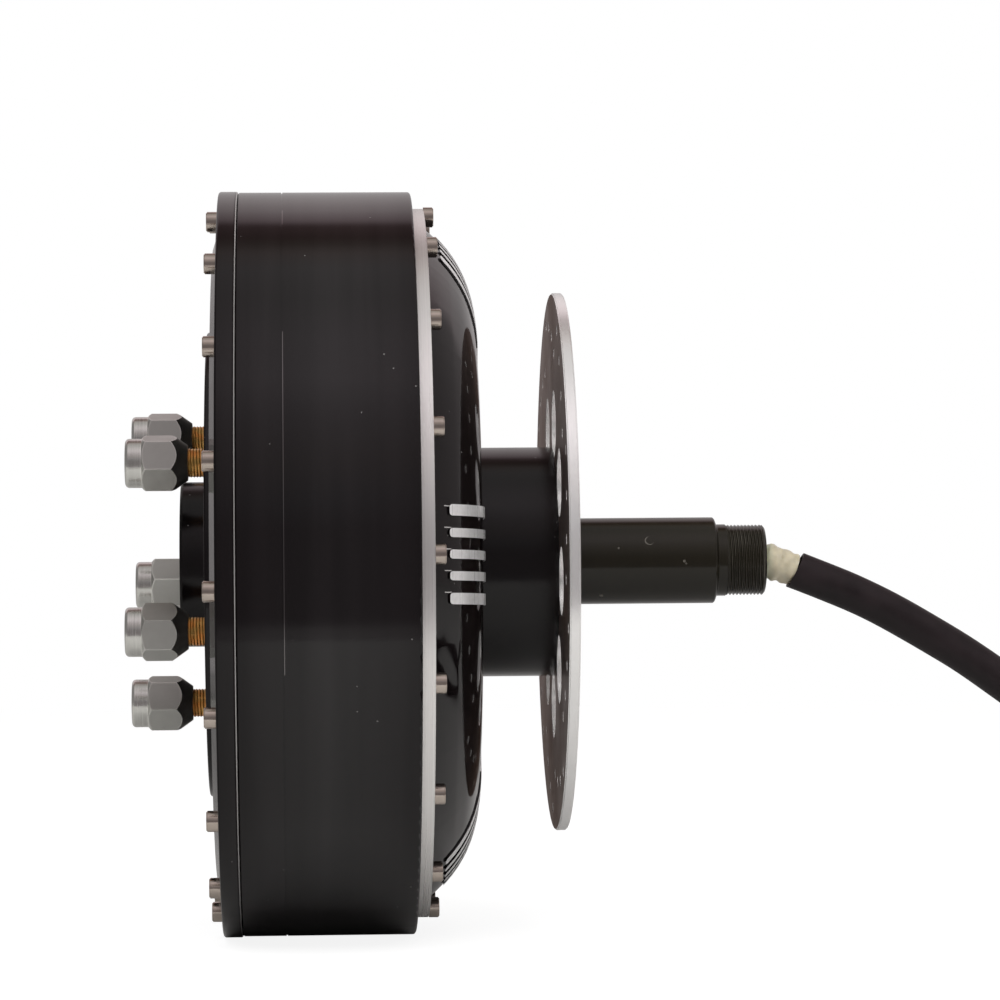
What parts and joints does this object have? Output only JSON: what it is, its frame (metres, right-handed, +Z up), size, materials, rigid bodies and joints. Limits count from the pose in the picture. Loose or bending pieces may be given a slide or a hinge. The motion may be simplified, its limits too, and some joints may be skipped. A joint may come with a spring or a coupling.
{
  "type": "hub motor",
  "caption": "Outrunner electric hub motor with drum-shaped rotor, domed finned cover, drilled brake disc, wheel studs with nuts, hollow threaded axle and supply cable.",
  "frame": {"origin": "on the motor axis, in the middle of the plain axle length that the vehicle's dropout clamps", "axes": "+X along the axle towards its threaded end, +Z up, wheel studs towards -X; -Y faces the viewer"},
  "size_m": [0.6114, 0.3793, 0.316],
  "materials": {
    "rotor_shell": "satin",
    "back_iron_ring": "satin",
    "rotor_magnets": "satin",
    "outer_cover": "satin",
    "outer_cover_screws": "satin",
    "inner_cover": "gloss",
    "inner_cover_screws": "satin",
    "wheel_studs": "satin",
    "lug_nuts": "satin",
    "brake_disc": "satin",
    "disc_screws": "satin",
    "axle_seal": "matte",
    "outer_bearing_outer_race": "gloss",
    "inner_bearing_outer_race": "gloss",
    "bearing_retaining_ring": "satin",
    "outer_bearing_balls": "polished",
    "inner_bearing_balls": "polished",
    "outer_bearing_inner_race": "gloss",
    "inner_bearing_inner_race": "gloss",
    "axle": "satin",
    "axle_circlip": "satin",
    "carrier_circlip": "satin",
    "carrier_key": "satin",
    "stator_carrier": "satin",
    "stator_core": "satin",
    "stator_windings": "gloss",
    "hall_sensor_board": "satin",
    "board_spacers": "satin",
    "inner_leads": "satin",
    "cable_seal": "satin",
    "cable": "matte",
    "cable_coil": "matte",
    "coil_tie": "satin",
    "cable_tail": "matte",
    "phase_lead_a": "satin",
    "phase_lead_b": "satin",
    "phase_lead_c": "satin",
    "signal_lead": "satin",
    "lead_lugs": "satin",
    "signal_connector": "satin"
  },
  "bodies": {
    "axle": {"outer_bearing_inner_race": "outer_bearing_inner_race", "inner_bearing_inner_race": "inner_bearing_inner_race", "axle": "axle", "axle_circlip": "axle_circlip", "carrier_circlip": "carrier_circlip", "carrier_key": "carrier_key", "stator_carrier": "stator_carrier", "stator_core": "stator_core", "stator_windings": "stator_windings", "hall_sensor_board": "hall_sensor_board", "board_spacers": "board_spacers", "inner_leads": "inner_leads", "cable_seal": "cable_seal", "cable": "cable", "cable_coil": "cable_coil", "coil_tie": "coil_tie", "cable_tail": "cable_tail", "phase_lead_a": "phase_lead_a", "phase_lead_b": "phase_lead_b", "phase_lead_c": "phase_lead_c", "signal_lead": "signal_lead", "lead_lugs": "lead_lugs", "signal_connector": "signal_connector"},
    "rotor": {"rotor_shell": "rotor_shell", "back_iron_ring": "back_iron_ring", "rotor_magnets": "rotor_magnets", "outer_cover": "outer_cover", "outer_cover_screws": "outer_cover_screws", "inner_cover": "inner_cover", "inner_cover_screws": "inner_cover_screws", "wheel_studs": "wheel_studs", "lug_nuts": "lug_nuts", "brake_disc": "brake_disc", "disc_screws": "disc_screws", "axle_seal": "axle_seal", "outer_bearing_outer_race": "outer_bearing_outer_race", "inner_bearing_outer_race": "inner_bearing_outer_race", "bearing_retaining_ring": "bearing_retaining_ring"},
    "outer_balls": {"outer_bearing_balls": "outer_bearing_balls"},
    "inner_balls": {"inner_bearing_balls": "inner_bearing_balls"}
  },
  "joints": [
    {"name": "rotor_spin", "type": "hinge", "parent": "axle", "child": "rotor", "pos_m": [-0.1, 0, 0], "axis": [1, 0, 0], "continuous": true},
    {"name": "outer_balls_spin", "type": "hinge", "parent": "axle", "child": "outer_balls", "pos_m": [-0.1573, 0, 0], "axis": [1, 0, 0], "continuous": true},
    {"name": "inner_balls_spin", "type": "hinge", "parent": "axle", "child": "inner_balls", "pos_m": [-0.059, 0, 0], "axis": [1, 0, 0], "continuous": true}
  ],
  "couplings": [
    {"joint": "outer_balls_spin", "follows": "rotor_spin", "ratio": 0.6},
    {"joint": "inner_balls_spin", "follows": "rotor_spin", "ratio": 0.6}
  ]
}
